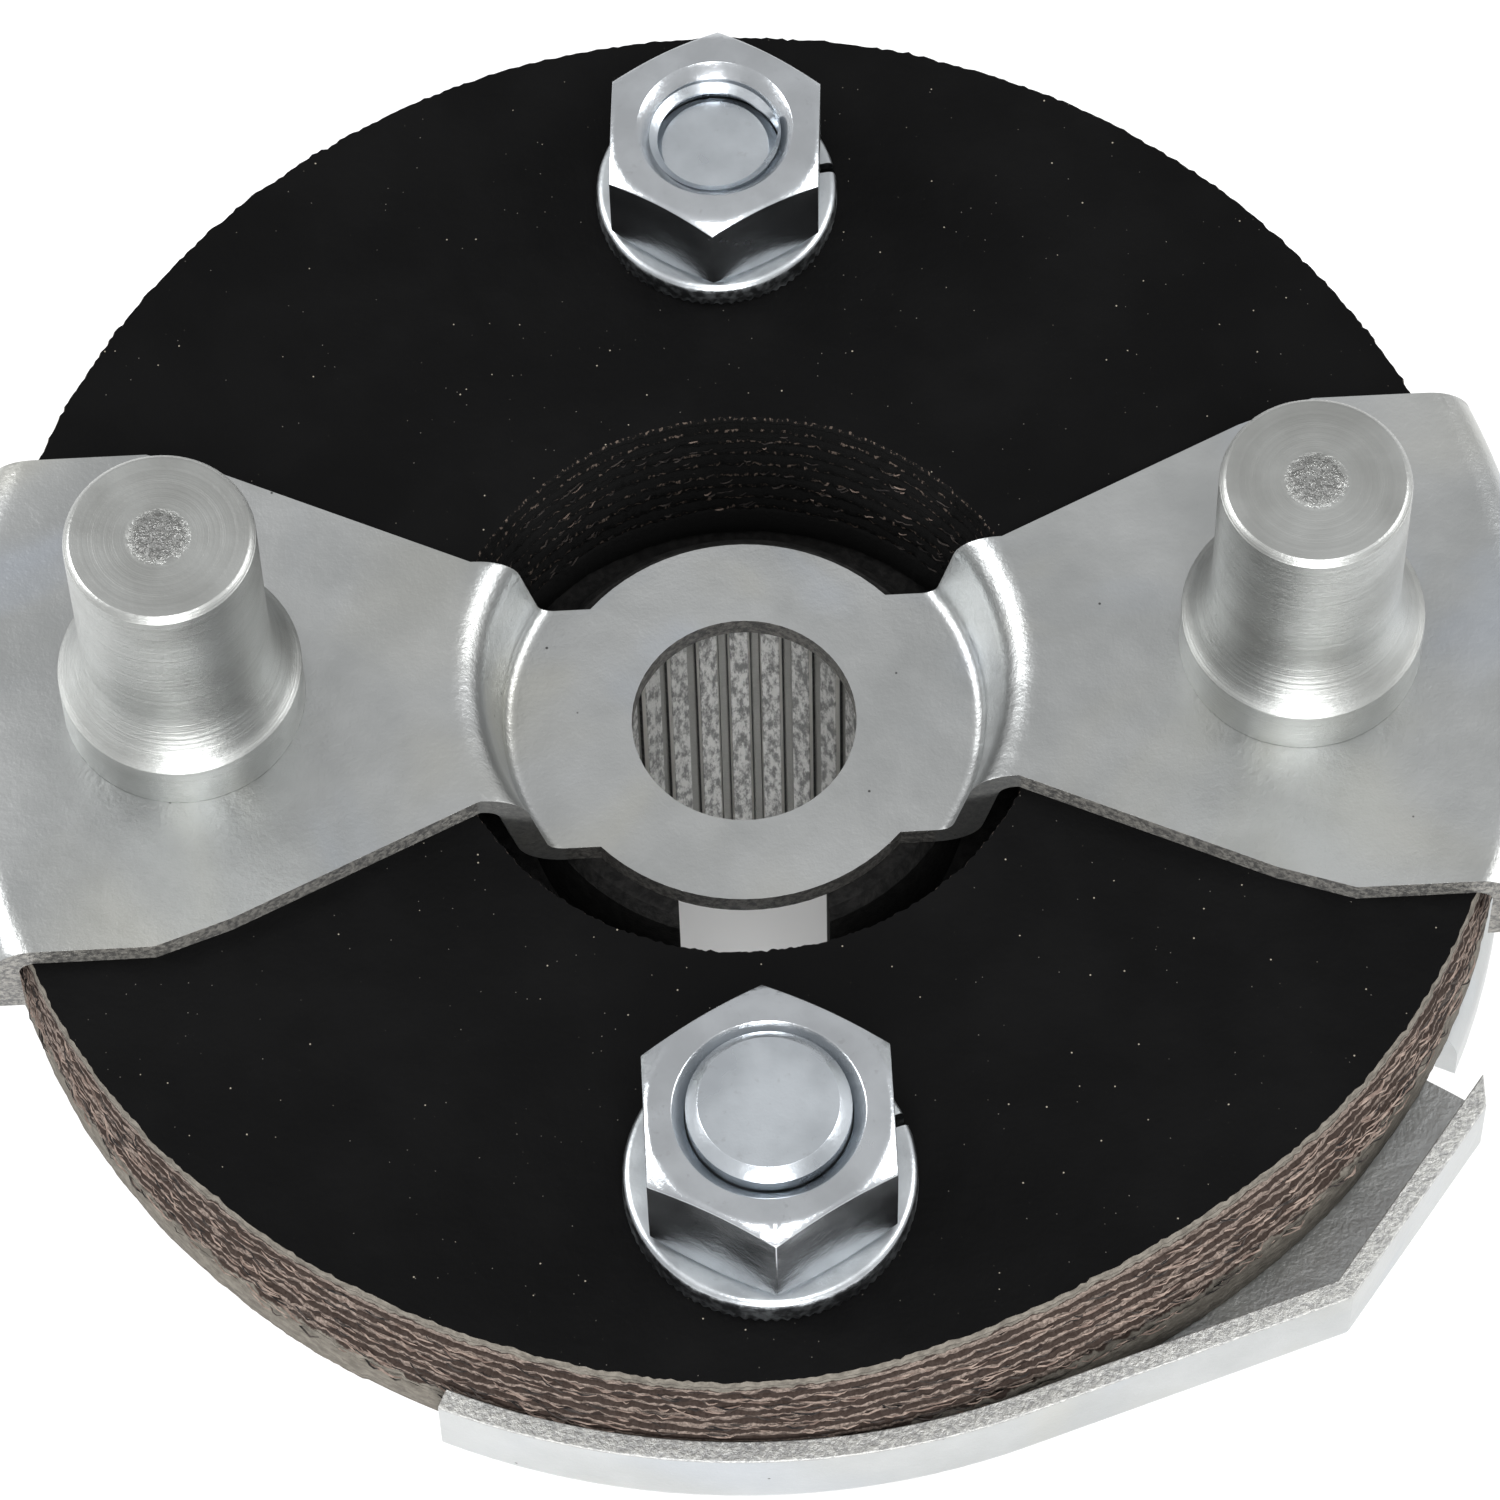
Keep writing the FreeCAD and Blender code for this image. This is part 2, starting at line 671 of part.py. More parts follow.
def cut_slot(body):
    """Slot of the clamp, from the bore out past the lugs on the large bolt's side."""
    slot = make_sketch(body, "slot")
    half = "dims.slot_width / 2"
    past = f"-(dims.lug_reach + dims.lug_radius) * {CUTTER_REACH}"
    add_outline(slot, [(f"-{half}", past), (half, past), (half, "-1"), (f"-{half}", "-1")])
    pocket_through(body, slot)


def make_hub_flange():
    """Flange on the hub's barrel: a round middle with an ear to each pin, joined by tangent lines."""
    body = make_body("hub_flange", height=FLANGE_BOTTOM)
    centre = "dims.flange_centre_radius"
    ear = "dims.flange_ear_radius"
    spread = "dims.fastener_circle_radius"
    lean = f"acos(({centre} - {ear}) / {spread})"
    centre_x = f"({centre} * cos({lean}))"
    centre_y = f"({centre} * sin({lean}))"
    ear_x = f"({spread} + {ear} * cos({lean}))"
    ear_y = f"({ear} * sin({lean}))"
    flange = make_sketch(body, "flange")
    corners = [
        (ear_x, f"-{ear_y}"),
        (ear_x, ear_y),
        (centre_x, centre_y),
        (f"-{centre_x}", centre_y),
        (f"-{ear_x}", ear_y),
        (f"-{ear_x}", f"-{ear_y}"),
        (f"-{centre_x}", f"-{centre_y}"),
        (centre_x, f"-{centre_y}"),
    ]
    arcs = {
        0: (ear, f"{spread} + {ear}", "0"),
        2: (centre, "0", centre),
        4: (ear, f"-{spread} - {ear}", "0"),
        6: (centre, "0", f"-{centre}"),
    }
    add_outline(flange, corners, arcs)
    add_circle(flange, "dims.hub_radius + dims.hole_clearance")
    for side in (-1, 1):
        add_circle(flange, PIN_HOLE, x=f"{side} * {spread}")
    pad(body, flange, "dims.flange_gauge")
    cut_slot(body)
    return body


def make_hub():
    """Splined clamp hub with two clamp lugs."""
    body = make_body("splined_hub")
    barrel = make_sketch(body, "barrel", "XZ_Plane")
    mouth = "(dims.bore_radius + dims.bore_chamfer)"
    corners = [
        ("dims.bore_radius", "0"),
        ("dims.hub_radius - 1", "0"),
        ("dims.hub_radius", "1"),
        ("dims.hub_radius", "dims.hub_length - 0.6"),
        ("dims.hub_radius - 0.6", "dims.hub_length"),
        (mouth, "dims.hub_length"),
        ("dims.bore_radius", "dims.hub_length - dims.bore_chamfer"),
    ]
    add_outline(barrel, corners)
    turn(body, barrel)

    # clamp lugs on the large bolt's side, a rounded slab that the slot then splits in two
    lug = make_sketch(body, "lug", "YZ_Plane")
    low = "(dims.lug_height - dims.lug_radius)"
    high = "(dims.lug_height + dims.lug_radius)"
    root = "-(dims.bore_radius + 1.5)"
    nose = "(-dims.lug_reach - dims.lug_radius)"
    shoulder = "(-dims.lug_reach - dims.lug_radius * cos(45))"
    corners = [
        (root, low),
        (root, high),
        ("-dims.lug_reach", high),
        (nose, "dims.lug_height"),
        ("-dims.lug_reach", low),
    ]
    arcs = {
        2: ("dims.lug_radius", shoulder, "dims.lug_height + dims.lug_radius * sin(45)"),
        3: ("dims.lug_radius", shoulder, "dims.lug_height - dims.lug_radius * sin(45)"),
    }
    add_outline(lug, corners, arcs)
    pad(body, lug, "dims.lug_width", symmetric=True)

    # one serration, repeated round the bore
    serration = make_sketch(body, "serration")
    foot = "dims.spline_foot_half_width"
    root = "dims.spline_root_half_width"
    deep = "(dims.bore_radius + dims.spline_depth)"
    shallow = "(dims.bore_radius - 0.4)"
    add_outline(
        serration,
        [(shallow, f"-{foot}"), (deep, f"-{root}"), (deep, root), (shallow, foot)],
    )
    cut = pocket(body, serration, "dims.hub_length", upwards=True)
    pattern = body.newObject("PartDesign::PolarPattern", "splined_hub_serrations")
    pattern.Originals = [cut]
    pattern.Axis = (serration, ["N_Axis"])
    pattern.Angle = 360
    pattern.setExpression("Occurrences", "dims.spline_count")
    doc.recompute()
    body.Tip = pattern

    cut_slot(body)

    hole = make_sketch(body, "pinch_hole", "YZ_Plane")
    add_circle(hole, "dims.pinch_hole_radius", x="-dims.lug_reach", y="dims.lug_height")
    pocket_through(body, hole)
    return body


# ---- pinch bolt -----------------------------------------------------------------------------


def lay_along_x(body):
    """Turns a body's own Z to the row's X and puts it on the line of the pinch bolt."""
    body.setExpression("Placement.Base.y", "-dims.lug_reach")
    body.setExpression("Placement.Base.z", "dims.lug_height")
    body.setExpression("Placement.Rotation.Axis.x", "0")
    body.setExpression("Placement.Rotation.Axis.y", "1")
    body.setExpression("Placement.Rotation.Axis.z", "0")
    body.setExpression("Placement.Rotation.Angle", "90")


def make_pinch_bolt():
    body = make_body("pinch_bolt")
    lay_along_x(body)
    seat = "(0 - dims.lug_width / 2 - dims.large_washer_gauge)"
    end = "dims.pinch_bolt_end"
    flats = "dims.large_nut_flats"
    add_bolt_shape(body, "dims.large_bolt_radius", flats, "dims.large_head_height", seat, end, "12")
    return body


def make_pinch_washer():
    body = make_body("pinch_lock_washer", along_x="0 - dims.lug_width / 2 - dims.large_washer_gauge")
    lay_along_x(body)
    add_split_ring(body, "dims.large_bolt_radius", "dims.large_washer_radius", "dims.large_washer_gauge")
    return body


def build():
    parts = make_disc()
    parts.append(make_pin_plate())
    parts.append(make_stop_pin("left_stop_pin", -1))
    parts.append(make_stop_pin("right_stop_pin", 1))
    parts.append(make_bolt("large_bolt", "large", -1, "4"))
    parts.append(make_bolt("small_bolt", "small", 1, "17"))
    parts.append(make_nut("large_nut", "large", -1, "0"))
    parts.append(make_nut("small_nut", "small", 1, "-4"))
    parts.append(make_lock_washer("large_lock_washer", "large", -1))
    parts.append(make_lock_washer("small_lock_washer", "small", 1))
    parts.append(make_backing_washer("large_backing_washer", "large", -1))
    parts.append(make_backing_washer("small_backing_washer", "small", 1))
    parts.append(make_lower_plate())
    parts.append(make_lower_plate_rim())
    parts.append(make_hub())
    parts.append(make_hub_flange())
    parts.append(make_pinch_bolt())
    parts.append(make_pinch_washer())
    return parts


def check(parts):
    for item in doc.Objects:
        if "Invalid" in item.State or "Error" in item.State:
            raise RuntimeError(f"{item.Label} failed: {item.State}")
    for part in parts:
        if part.Shape.isNull() or not part.Shape.isValid():
            raise RuntimeError(f"{part.Label} has no valid shape")
        if len(part.Shape.Solids) != 1:
            raise RuntimeError(f"{part.Label} has {len(part.Shape.Solids)} solids")


def export(parts):
    os.makedirs("parts", exist_ok=True)
    for part in parts:
        part.Shape.exportStep(f"parts/{part.Label}.step")


pieces = build()
doc.recompute()
check(pieces)
export(pieces)
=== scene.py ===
import json
import math
import random

import bmesh
import bpy
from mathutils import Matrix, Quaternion, Vector, noise


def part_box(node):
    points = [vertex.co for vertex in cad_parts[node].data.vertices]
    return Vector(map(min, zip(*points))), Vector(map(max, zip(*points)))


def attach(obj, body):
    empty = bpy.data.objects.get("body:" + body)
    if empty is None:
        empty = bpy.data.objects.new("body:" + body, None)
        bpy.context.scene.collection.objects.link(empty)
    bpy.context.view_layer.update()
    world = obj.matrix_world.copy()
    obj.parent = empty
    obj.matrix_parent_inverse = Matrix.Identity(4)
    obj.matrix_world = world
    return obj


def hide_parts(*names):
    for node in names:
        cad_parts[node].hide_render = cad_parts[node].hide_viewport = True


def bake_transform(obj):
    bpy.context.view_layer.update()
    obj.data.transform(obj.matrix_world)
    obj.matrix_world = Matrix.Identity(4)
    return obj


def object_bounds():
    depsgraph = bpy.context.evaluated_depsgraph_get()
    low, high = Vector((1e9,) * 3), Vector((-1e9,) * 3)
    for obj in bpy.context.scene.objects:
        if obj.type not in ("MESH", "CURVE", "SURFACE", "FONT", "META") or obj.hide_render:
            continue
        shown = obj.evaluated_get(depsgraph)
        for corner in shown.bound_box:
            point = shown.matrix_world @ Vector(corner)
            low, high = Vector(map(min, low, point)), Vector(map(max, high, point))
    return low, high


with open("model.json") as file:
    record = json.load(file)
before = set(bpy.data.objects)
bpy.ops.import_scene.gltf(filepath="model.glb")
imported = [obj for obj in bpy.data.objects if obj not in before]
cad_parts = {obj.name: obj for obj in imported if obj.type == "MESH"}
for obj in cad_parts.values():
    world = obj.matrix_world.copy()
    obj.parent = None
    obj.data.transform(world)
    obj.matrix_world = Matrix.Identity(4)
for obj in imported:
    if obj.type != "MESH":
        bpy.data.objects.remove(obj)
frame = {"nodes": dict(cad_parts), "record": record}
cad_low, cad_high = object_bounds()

# Everything below is measured in millimetres and turned into metres by MM where a mesh is made.
MM = 0.001
NODES = frame["nodes"]
BODY_OF = {row: body for body, rows in frame["record"]["behaviour"]["bodies"].items() for row in rows}


def node_box(node):
    """Lowest and highest corner of a CAD node, in millimetres."""
    low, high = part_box(node)
    return low / MM, high / MM


DISC_TOP = node_box("top_cover_rubber")[1].z
DISC_BOTTOM = node_box("bottom_cover_rubber")[0].z
DISC_RADIUS = node_box("top_cover_rubber")[1].x
PLY_GAUGE = node_box("fabric_ply_1")[1].z - node_box("fabric_ply_1")[0].z
LOWER_RIM_TOP = node_box("lower_plate_rim")[1].z
BOLT_CIRCLE = 33.35

# The disc's edge and centre hole, in millimetres from the Z axis.
WALL_RADIUS = 45.0
HOLE_RADIUS = 18.0
# Painted shade in the centre hole: full inside the first radius, gone beyond the second.
HOLE_SHADE_FULL, HOLE_SHADE_END = 24.0, 30.0

# Where the pin plate's dish, its lips and the pins' turned tops are, and the hub's serrated bore.
DISH_INNER = (13.6, 13.9)
DISH_OUTER = (18.2, 17.9)
DISH_SIDE = (8.3, 7.9)
LIP_REACH = (45.4, 45.8)
LIP_SIDE = (16.5, 16.3)
PIN_TOP = (62.7, 62.9)
PIT_REACH = (2.0, 1.3)
BORE_REACH = (10.2, 9.95)
BORE_RADIUS = 9.2

# ---- materials ------------------------------------------------------------------------------


class Shader:
    """A node material whose textures are laid out in millimetres of the object's own space."""

    def __init__(self, name, roughness, metallic=0.0, specular=0.5):
        self.material = bpy.data.materials.new(name)
        self.material.use_nodes = True
        self.nodes = self.material.node_tree.nodes
        self.links = self.material.node_tree.links
        self.surface = self.nodes["Principled BSDF"]
        self.surface.inputs["Roughness"].default_value = roughness
        self.surface.inputs["Metallic"].default_value = metallic
        self.surface.inputs["Specular IOR Level"].default_value = specular
        self.normal = None
        place = self.nodes.new("ShaderNodeTexCoord")
        self.place = self.vector("SCALE", place.outputs["Object"], factor=1 / MM)
        split = self.nodes.new("ShaderNodeSeparateXYZ")
        self.join(self.place, split.inputs[0])
        self.x, self.y, self.z = split.outputs

    def join(self, value, socket):
        """Feeds a socket from another node's output, or sets it to a plain value."""
        if isinstance(value, bpy.types.NodeSocket):
            self.links.new(value, socket)
        else:
            socket.default_value = value

    def vector(self, operation, first, second=None, factor=None):
        step = self.nodes.new("ShaderNodeVectorMath")
        step.operation = operation
        self.join(first, step.inputs[0])
        if second is not None:
            self.join(second, step.inputs[1])
        if factor is not None:
            step.inputs["Scale"].default_value = factor
        return step.outputs["Value"] if operation == "LENGTH" else step.outputs["Vector"]

    def math(self, operation, first, second=0.0, clamp=False):
        step = self.nodes.new("ShaderNodeMath")
        step.operation = operation
        step.use_clamp = clamp
        self.join(first, step.inputs[0])
        self.join(second, step.inputs[1])
        return step.outputs[0]

    def times(self, first, second):
        return self.math("MULTIPLY", first, second)

    def plus(self, first, second, clamp=False):
        return self.math("ADD", first, second, clamp)

    def minus(self, first, second):
        return self.math("SUBTRACT", first, second)

    def size(self, value):
        return self.math("ABSOLUTE", value)

    def combine(self, x, y, z):
        step = self.nodes.new("ShaderNodeCombineXYZ")
        for value, socket in zip((x, y, z), step.inputs):
            self.join(value, socket)
        return step.outputs[0]

    def noise(self, scale, detail=3.0, rough=0.5, at=None, warp=0.0):
        step = self.nodes.new("ShaderNodeTexNoise")
        self.join(self.place if at is None else at, step.inputs["Vector"])
        step.inputs["Scale"].default_value = scale
        step.inputs["Detail"].default_value = detail
        step.inputs["Roughness"].default_value = rough
        step.inputs["Distortion"].default_value = warp
        return step.outputs[0]

    def cells(self, scale):
        """Distance to the nearest of a scatter of points, in cell widths."""
        step = self.nodes.new("ShaderNodeTexVoronoi")
        self.join(self.place, step.inputs["Vector"])
        step.inputs["Scale"].default_value = scale
        return step.outputs["Distance"]

    def between(self, value, low, high):
        """0 at low and 1 at high, smooth in between. Low may be the larger of the two."""
        step = self.nodes.new("ShaderNodeMapRange")
        step.interpolation_type = "SMOOTHSTEP"
        self.join(value, step.inputs["Value"])
        step.inputs["From Min"].default_value = low
        step.inputs["From Max"].default_value = high
        return step.outputs[0]

    def mix(self, factor, first, second):
        """First colour where factor is 0, second where it is 1."""
        step = self.nodes.new("ShaderNodeMix")
        step.data_type = "RGBA"
        self.join(factor, step.inputs[0])
        for value, socket in ((first, step.inputs[6]), (second, step.inputs[7])):
            self.join((*value, 1.0) if isinstance(value, tuple) else value, socket)
        return step.outputs[2]

    def bump(self, height, depth):
        """Adds relief: height from 0 to 1 stands for depth millimetres."""
        step = self.nodes.new("ShaderNodeBump")
        step.inputs["Strength"].default_value = 1.0
        step.inputs["Distance"].default_value = depth * MM
        self.join(height, step.inputs["Height"])
        if self.normal is not None:
            self.join(self.normal, step.inputs["Normal"])
        self.normal = step.outputs[0]

    def rough(self, factor, low, high):
        """Roughness from low to high as factor goes from 0 to 1."""
        step = self.nodes.new("ShaderNodeMapRange")
        self.join(factor, step.inputs["Value"])
        step.inputs["To Min"].default_value = low
        step.inputs["To Max"].default_value = high
        self.join(step.outputs[0], self.surface.inputs["Roughness"])

    def upright(self):
        """1 on walls and 0 on faces that look up or down."""
        facing = self.nodes.new("ShaderNodeNewGeometry")
        split = self.nodes.new("ShaderNodeSeparateXYZ")
        self.join(facing.outputs["True Normal"], split.inputs[0])
        return self.between(self.size(split.outputs[2]), 0.75, 0.35)

    def reach(self):
        """Distance from the Z axis, in millimetres."""
        return self.vector("LENGTH", self.combine(self.x, self.y, 0.0))

    def done(self, colour):
        """Takes the colour and the relief, and hands the material over."""
        self.join(colour, self.surface.inputs["Base Color"])
        if self.normal is not None:
            self.join(self.normal, self.surface.inputs["Normal"])
        return self.material


def rubber_skin():
    """Calendered black rubber: matt, faintly cloudy, with fine pale dust in it."""
    s = Shader("rubber_skin", 0.75, specular=0.05)
    cloud = s.noise(0.12, 4.0)
    grain = s.noise(3.2, 4.0, 0.6)
    colour = s.mix(s.between(cloud, 0.35, 0.7), (0.0018, 0.0018, 0.0019), (0.0030, 0.0030, 0.0031))
    dust = s.minus(1.0, s.between(s.cells(0.72), 0.026, 0.048))
    fine = s.minus(1.0, s.between(s.cells(1.35), 0.03, 0.055))
    patchy = s.times(fine, s.between(s.noise(0.25, 2.0), 0.42, 0.52))
    colour = s.mix(s.times(patchy, 0.6), colour, (0.17, 0.16, 0.14))
    colour = s.mix(s.times(dust, 0.7), colour, (0.3, 0.27, 0.22))
    s.rough(cloud, 0.62, 0.85)
    s.bump(grain, 0.035)
    s.bump(s.noise(0.5, 3.0), 0.12)
    return s.done(colour)


def around(s, radius):
    """Place along a circle of the given radius about the Z axis, in millimetres."""
    return s.times(s.math("ARCTAN2", s.y, s.x), radius)


def rubber_cut():
    """Edge of the cover rubber where the disc was cut out: pale, dusty and streaked."""
    s = Shader("rubber_cut", 0.85, specular=0.1)
    along = around(s, WALL_RADIUS)
    streaks = s.noise(1.0, 5.0, 0.65, at=s.combine(along, s.times(s.z, 2.2), 0.0))
    colour = s.mix(s.between(streaks, 0.3, 0.72), (0.085, 0.077, 0.066), (0.155, 0.142, 0.122))
    flecks = s.between(s.noise(2.4, 3.0), 0.62, 0.7)
    colour = s.mix(s.times(flecks, 0.4), colour, (0.05, 0.04, 0.035))
    # inside the centre hole the cut edge is painted near-black: painted shade of the recess
    colour = s.mix(s.between(s.reach(), HOLE_SHADE_END, HOLE_SHADE_FULL), colour, (0.0035, 0.0035, 0.0035))
    s.bump(streaks, 0.12)
    s.bump(s.noise(5.0, 3.0), 0.05)
    return s.done(colour)


def ply_edge():
    """Cut edge of the rubbered cloth: pinkish yarn ends, with dark rubber between the plies and yarns."""
    s = Shader("ply_edge", 0.9, specular=0.1)
    along = around(s, WALL_RADIUS)
    drift = s.noise(1.0, 3.0, 0.6, at=s.combine(s.times(along, 0.4), s.z, 0.0))
    sway = s.plus(s.times(s.minus(drift, 0.5), 0.16), 0.21)
    rise = s.minus(s.z, DISC_BOTTOM + 2.5)
    level = s.plus(s.math("DIVIDE", rise, PLY_GAUGE), sway)
    layer = s.math("FLOOR", level)
    height = s.size(s.minus(s.math("FRACT", level), 0.5))
    ends = s.noise(1.0, 3.0, 0.65, at=s.combine(s.times(along, 4.5), s.times(s.z, 3.4), 3.0))
    torn = s.noise(1.0, 4.0, 0.65, at=s.combine(s.times(along, 1.3), s.times(s.z, 1.6), 9.0))
    colour = s.mix(s.between(ends, 0.32, 0.68), (0.07, 0.054, 0.045), (0.20, 0.16, 0.138))
    seam = s.between(s.plus(height, s.times(torn, 0.12)), 0.37, 0.43)
    # rubber shows between the yarns as dark lens-shaped spots, staggered from ply to ply
    step = s.plus(s.times(along, 0.52), s.times(layer, 0.5))
    pitch = s.size(s.minus(s.math("FRACT", s.plus(step, sway)), 0.5))
    lens = s.plus(s.times(pitch, 1.1), s.times(height, 1.6))
    patches = s.between(s.noise(0.09, 2.0), 0.42, 0.6)
    lens = s.plus(lens, s.times(torn, 0.5))
    spots = s.times(s.between(lens, 0.72, 0.60), patches)
    colour = s.mix(spots, colour, (0.018, 0.012, 0.010))
    colour = s.mix(s.times(seam, 0.9), colour, (0.016, 0.010, 0.008))
    # grey rubber of the covers above and below the plies, with an uneven border
    border = s.noise(1.0, 4.0, 0.6, at=s.combine(s.times(along, 0.6), 0.0, 5.0))
    uneven = s.times(border, 1.6)
    above = s.between(s.plus(s.z, uneven), DISC_TOP, DISC_TOP + 0.12)
    below = s.between(s.minus(s.z, uneven), DISC_BOTTOM + 2.75, DISC_BOTTOM + 2.6)
    cover = s.mix(s.between(torn, 0.35, 0.65), (0.085, 0.077, 0.066), (0.15, 0.137, 0.118))
    colour = s.mix(s.math("MAXIMUM", above, below), colour, cover)
    # in the centre hole the cut edge is painted near-black as painted shade, with pale threads left showing
    thread = s.times(s.between(height, 0.16, 0.08), s.between(torn, 0.52, 0.62))
    hole = s.mix(thread, (0.003, 0.003, 0.003), (0.11, 0.085, 0.07))
    colour = s.mix(s.between(s.reach(), HOLE_SHADE_END, HOLE_SHADE_FULL), colour, hole)
    s.bump(ends, 0.06)
    s.bump(s.times(seam, -1.0), 0.15)
    return s.done(colour)


def yarn(name, light, dark):
    """Loose fibres of the cloth."""
    s = Shader(name, 0.9, specular=0.2)
    s.bump(s.noise(12.0, 2.0), 0.03)
    return s.done(s.mix(s.between(s.noise(1.4, 3.0), 0.4, 0.62), dark, light))


def zinc_sheet(name, tint, torn_edge, torn_low, torn_high):
    """Bright zinc plating on rolled sheet, mottled and flecked, with grey grain where it was torn."""
    s = Shader(name, 0.3, metallic=1.0)
    cloud = s.noise(0.09, 4.0, 0.6)
    film = s.noise(0.05, 2.0, 0.5, warp=1.2)
    dull = (0.34 * tint, 0.35 * tint, 0.35 * tint)
    clear = (0.42 * tint, 0.43 * tint, 0.43 * tint)
    colour = s.mix(s.between(cloud, 0.3, 0.7), dull, clear)
    colour = s.mix(s.times(s.between(film, 0.5, 0.75), 0.3), colour, (0.52, 0.50, 0.41))
    colour = s.mix(s.times(s.between(film, 0.45, 0.25), 0.3), colour, (0.40, 0.45, 0.54))
    fleck = s.minus(1.0, s.between(s.cells(0.3), 0.016, 0.034))
    colour = s.mix(s.times(fleck, 0.85), colour, (0.03, 0.03, 0.03))
    s.bump(s.noise(0.35, 2.0), 0.10)
    s.bump(s.noise(3.4, 3.0, 0.6), 0.03)
    torn = torn_edge(s)
    grit = s.noise(2.6, 4.0, 0.7)
    cream = s.mix(s.between(grit, 0.38, 0.62), torn_low, torn_high)
    colour = s.mix(s.times(torn, 0.85), colour, cream)
    s.join(s.minus(1.0, s.times(torn, 0.45)), s.surface.inputs["Metallic"])
    s.bump(s.times(grit, torn), 0.14)
    s.rough(s.plus(s.times(torn, 0.35), s.times(cloud, 0.5), clamp=True), 0.30, 0.54)
    return s.done(colour)


def wing_edges(s):
    """The sheared outline of the pin plate, but neither its dish nor the faces of its lips."""
    reach = s.reach()
    dish = s.times(s.between(reach, *DISH_INNER), s.between(reach, *DISH_OUTER))
    core = s.minus(1.0, s.times(dish, s.between(s.size(s.y), *DISH_SIDE)))
    lip = s.times(s.between(reach, *LIP_REACH), s.between(s.size(s.y), *LIP_SIDE))
    return s.times(s.upright(), s.times(core, s.minus(1.0, lip)))


def rim_edge(s):
    """The torn top edge of the rim."""
    return s.between(s.z, LOWER_RIM_TOP - 0.2, LOWER_RIM_TOP - 0.1)


def turned_pin():
    """Turned steel with tool marks round the shank and facing marks on the top."""
    s = Shader("turned_pin", 0.3, metallic=1.0)
    out = s.minus(s.size(s.x), BOLT_CIRCLE)
    reach = s.vector("LENGTH", s.combine(out, s.y, 0.0))
    marks = s.noise(1.0, 4.0, 0.75, at=s.combine(0.0, s.times(reach, 1.5), s.times(s.z, 5.0)))
    cloud = s.noise(0.16, 3.0)
    grain = s.noise(3.0, 4.0, 0.6)
    colour = s.mix(s.between(cloud, 0.3, 0.7), (0.30, 0.305, 0.295), (0.42, 0.43, 0.42))
    colour = s.mix(s.times(s.between(marks, 0.56, 0.7), 0.4), colour, (0.22, 0.225, 0.22))
    centre = s.times(s.between(reach, *PIT_REACH), s.between(s.z, *PIN_TOP))
    pits = s.times(s.between(s.noise(2.2, 4.0, 0.7), 0.42, 0.6), centre)
    colour = s.mix(s.times(centre, 0.6), colour, (0.22, 0.22, 0.215))
    colour = s.mix(s.times(pits, 0.5), colour, (0.13, 0.13, 0.125))
    s.rough(marks, 0.24, 0.5)
    s.bump(marks, 0.06)
    s.bump(grain, 0.02)
    s.bump(pits, 0.12)
    return s.done(colour)


def plated_steel(name, low, high, roughness=0.26, dark_wall=0.0):
    """Zinc-plated fastener steel, bright with small dings, and darker on a bitten or knurled wall."""
    s = Shader(name, roughness, metallic=1.0)
    cloud = s.noise(0.25, 4.0)
    colour = s.mix(s.between(cloud, 0.3, 0.7), low, high)
    ding = s.between(s.noise(1.3, 5.0, 0.65), 0.6, 0.72)
    colour = s.mix(s.times(ding, 0.3), colour, (0.3, 0.305, 0.31))
    if dark_wall:
        bitten = s.times(s.upright(), s.between(s.noise(1.8, 3.0), 0.66, 0.4))
        colour = s.mix(s.times(bitten, dark_wall), colour, (0.03, 0.03, 0.032))
    s.rough(cloud, roughness - 0.07, roughness + 0.14)
    s.bump(s.noise(0.8, 3.0), 0.04)
    s.bump(s.noise(5.0, 3.0, 0.6), 0.012)
    return s.done(colour)


def hub_steel():
    """Black-coated hub with a bright broached bore, its ridges given a painted highlight and painted shade.
    """
    s = Shader("hub_coated", 0.55, specular=0.2)
    reach = s.reach()
    bore = s.between(reach, *BORE_REACH)
    along = around(s, BORE_RADIUS)
    drag = s.noise(1.0, 4.0, 0.7, at=s.combine(s.times(along, 2.4), s.times(s.z, 0.7), reach))
    grain = s.noise(1.6, 5.0, 0.65)
    black = s.mix(s.between(grain, 0.35, 0.7), (0.003, 0.003, 0.003), (0.014, 0.0135, 0.013))
    bright = s.mix(s.between(drag, 0.38, 0.60), (0.30, 0.30, 0.295), (0.95, 0.95, 0.93))
    # outwards from a ridge's top: a painted highlight on its corner, painted shade down the side wall, then
    # the groove's floor
    bright = s.mix(s.between(reach, 9.24, 9.30), bright, (1.0, 0.99, 0.95))
    bright = s.mix(s.between(reach, 9.50, 9.56), bright, (0.02, 0.02, 0.021))
    bright = s.mix(s.between(reach, 9.70, 9.76), bright, (0.42, 0.42, 0.40))
    colour = s.mix(bore, black, bright)
    s.join(s.times(bore, 0.55), s.surface.inputs["Metallic"])
    s.rough(bore, 0.75, 0.34)
    s.bump(grain, 0.12)
    s.bump(s.times(drag, bore), 0.05)
    return s.done(colour)


def floor_paint():
    """Pale studio floor that glows a little, so shadows on it stay light."""
    s = Shader("studio_floor", 0.6, specular=0.2)
    s.surface.inputs["Emission Color"].default_value = (1.0, 1.0, 1.0, 1.0)
    s.surface.inputs["Emission Strength"].default_value = 0.2
    return s.done(s.mix(s.noise(0.01, 2.0), (0.64, 0.64, 0.64), (0.67, 0.67, 0.67)))


